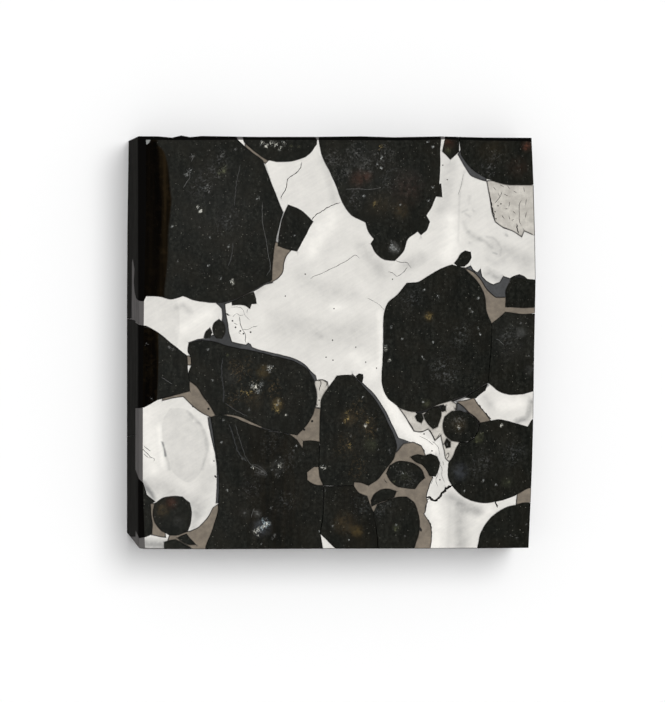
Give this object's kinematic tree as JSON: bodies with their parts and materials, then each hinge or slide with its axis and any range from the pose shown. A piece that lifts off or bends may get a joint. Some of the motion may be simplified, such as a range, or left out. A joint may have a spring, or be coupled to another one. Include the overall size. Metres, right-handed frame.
{
  "type": "pallasite meteorite slice",
  "caption": "Flat sawn slice of stony-iron meteorite: rounded dark olivine crystals set in bright nickel-iron metal, polished face up.",
  "frame": {"origin": "under the middle of the slice, at the height of the surface it rests on", "axes": "+Z out of the polished face; +Y towards the edge that is at the top of the picture; +X right"},
  "size_m": [0.0406, 0.0414, 0.009],
  "materials": {
    "nickel_iron": "lapped and lightly clouded nickel-iron metal",
    "olivine": "polished, glassy, nearly black by reflected light",
    "troilite": "dull bronze-grey iron sulphide, lapped",
    "grey_schreibersite": "dark grey iron-nickel phosphide, lapped",
    "pale_schreibersite": "pale grey cracked iron-nickel phosphide, lapped"
  },
  "bodies": {
    "root": {"metal_matrix": "nickel_iron", "olivine_bottom_centre": "olivine", "olivine_bottom_round": "olivine", "olivine_centre": "olivine", "olivine_chip_large": "olivine", "olivine_chip_small": "olivine", "olivine_chip_thin": "olivine", "olivine_corner": "olivine", "olivine_crescent": "olivine", "olivine_foot_lower": "olivine", "olivine_foot_upper": "olivine", "olivine_hatchet": "olivine", "olivine_knob_centre": "olivine", "olivine_knob_right": "olivine", "olivine_left_edge": "olivine", "olivine_lower_bud": "olivine", "olivine_lower_edge": "olivine", "olivine_lower_left": "olivine", "olivine_lower_right": "olivine", "olivine_middle": "olivine", "olivine_oval": "olivine", "olivine_pip": "olivine", "olivine_rear_left": "olivine", "olivine_red_round": "olivine", "olivine_right_edge": "olivine", "olivine_right_edge_small": "olivine", "olivine_right_large": "olivine", "olivine_splinter": "olivine", "olivine_square": "olivine", "olivine_top_bud": "olivine", "olivine_top_centre": "olivine", "olivine_top_notch": "olivine", "olivine_top_right": "olivine", "olivine_upper_left": "olivine", "olivine_vein_chip": "olivine", "olivine_vein_oval": "olivine", "olivine_wedge": "olivine", "schreibersite_lower_right": "pale_schreibersite", "schreibersite_patch": "grey_schreibersite", "schreibersite_right": "grey_schreibersite", "schreibersite_rim_centre": "grey_schreibersite", "schreibersite_rim_left": "grey_schreibersite", "schreibersite_rim_top": "grey_schreibersite", "schreibersite_top_right": "pale_schreibersite", "schreibersite_vein": "grey_schreibersite", "schreibersite_wedge_top": "pale_schreibersite", "troilite_band": "troilite", "troilite_blade": "troilite", "troilite_branched": "troilite", "troilite_corner": "troilite", "troilite_island": "troilite", "troilite_lower_left": "troilite", "troilite_plug": "troilite", "troilite_right": "troilite", "troilite_right_edge": "troilite", "troilite_sliver": "troilite", "troilite_top_sliver": "troilite", "troilite_upper": "troilite", "troilite_wedge": "troilite"}
  },
  "joints": []
}
